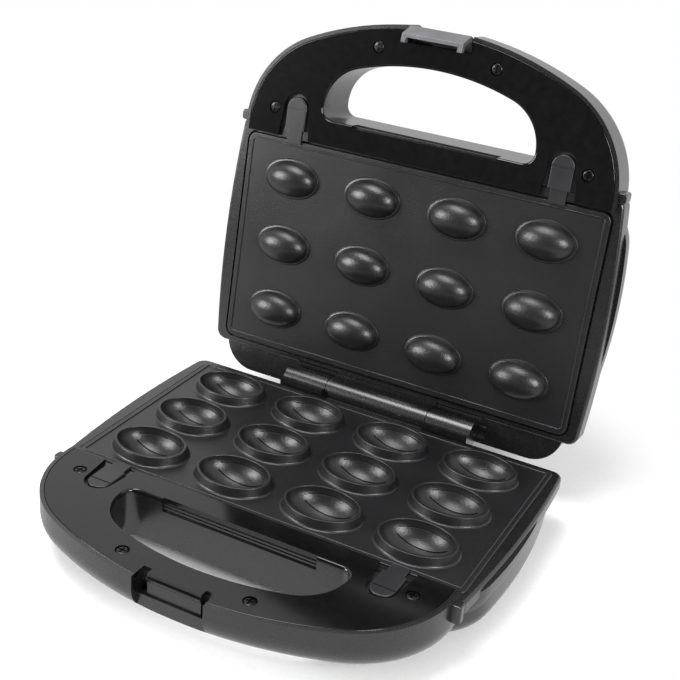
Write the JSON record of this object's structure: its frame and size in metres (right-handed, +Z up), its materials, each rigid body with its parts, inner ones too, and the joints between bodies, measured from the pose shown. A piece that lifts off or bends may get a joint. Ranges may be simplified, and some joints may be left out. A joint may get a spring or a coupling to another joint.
{
  "type": "hinged nut-shaped biscuit maker",
  "caption": "Countertop clamshell cooker that bakes hollow nut-shaped halves between a cup plate and a dome plate, with a D-shaped handle end and a front latch.",
  "frame": {"origin": "on the table, below the centre of the part's box with the lid open", "axes": "+Z up, -Y towards the user at the handle end, +X to the user's right"},
  "size_m": [0.2316, 0.2615, 0.237],
  "materials": {
    "housing": "glossy black moulded plastic",
    "deck": "glossy black moulded plastic",
    "mould": "die-cast aluminium with a dark satin non-stick coat",
    "pan": "bright pressed sheet",
    "element": "heat-tinted sheath",
    "bracket": "plain steel strip",
    "spring": "spring steel",
    "screw": "blackened steel",
    "pin": "plain steel",
    "button": "satin dark grey plastic",
    "latch": "satin grey plastic",
    "rubber": "matt black rubber",
    "terminal": "cream heat-proof plastic",
    "red_lens": "clear red plastic",
    "green_lens": "clear green plastic"
  },
  "bodies": {
    "base": {"lower_housing": "housing", "lower_deck": "deck", "lower_deck_screws": "screw", "lower_mould_plate": "mould", "lower_reflector_pan": "pan", "lower_heating_element": "element", "lower_heater_clamps": "bracket", "lower_button_spring_left": "spring", "lower_button_spring_right": "spring", "rubber_feet": "rubber", "hinge_pin_left": "pin", "hinge_pin_right": "pin", "cord_gland": "rubber", "terminal_block": "terminal", "thermal_fuse": "pin"},
    "lid": {"upper_housing": "housing", "upper_deck": "deck", "upper_deck_screws": "screw", "upper_mould_plate": "mould", "upper_reflector_pan": "pan", "upper_heating_element": "element", "upper_heater_clamps": "bracket", "upper_button_spring_left": "spring", "upper_button_spring_right": "spring", "latch_pin": "pin", "thermostat": "terminal", "power_lamp": "red_lens", "ready_lamp": "green_lens"},
    "latch": {"latch_clip": "latch"},
    "lower_release_button_left_body": {"lower_release_button_left": "button"},
    "lower_release_button_right_body": {"lower_release_button_right": "button"},
    "upper_release_button_left_body": {"upper_release_button_left": "button"},
    "upper_release_button_right_body": {"upper_release_button_right": "button"}
  },
  "joints": [
    {"name": "lid_hinge", "type": "hinge", "parent": "base", "child": "lid", "pos_m": [0, 0.0751, 0.0334], "axis": [1, 0, 0], "range_deg": [0, 98]},
    {"name": "latch_pivot", "type": "hinge", "parent": "lid", "child": "latch", "pos_m": [0, 0.11344, 0.23078], "axis": [-1, 0, 0], "range_deg": [0, 25], "stiffness_Nm_per_rad": 0.02, "springref_deg": -11.46},
    {"name": "lower_release_left", "type": "slide", "parent": "base", "child": "lower_release_button_left_body", "axis": [0, -1, 0], "range_m": [0, 0.0016], "stiffness_N_per_m": 400, "springref_m": -0.001, "deforming": ["lower_button_spring_left"]},
    {"name": "lower_release_right", "type": "slide", "parent": "base", "child": "lower_release_button_right_body", "axis": [0, -1, 0], "range_m": [0, 0.0016], "stiffness_N_per_m": 400, "springref_m": -0.001, "deforming": ["lower_button_spring_right"]},
    {"name": "upper_release_left", "type": "slide", "parent": "lid", "child": "upper_release_button_left_body", "axis": [0, 0.1392, 0.9903], "range_m": [0, 0.0016], "stiffness_N_per_m": 400, "springref_m": -0.001, "deforming": ["upper_button_spring_left"]},
    {"name": "upper_release_right", "type": "slide", "parent": "lid", "child": "upper_release_button_right_body", "axis": [0, 0.1392, 0.9903], "range_m": [0, 0.0016], "stiffness_N_per_m": 400, "springref_m": -0.001, "deforming": ["upper_button_spring_right"]}
  ]
}
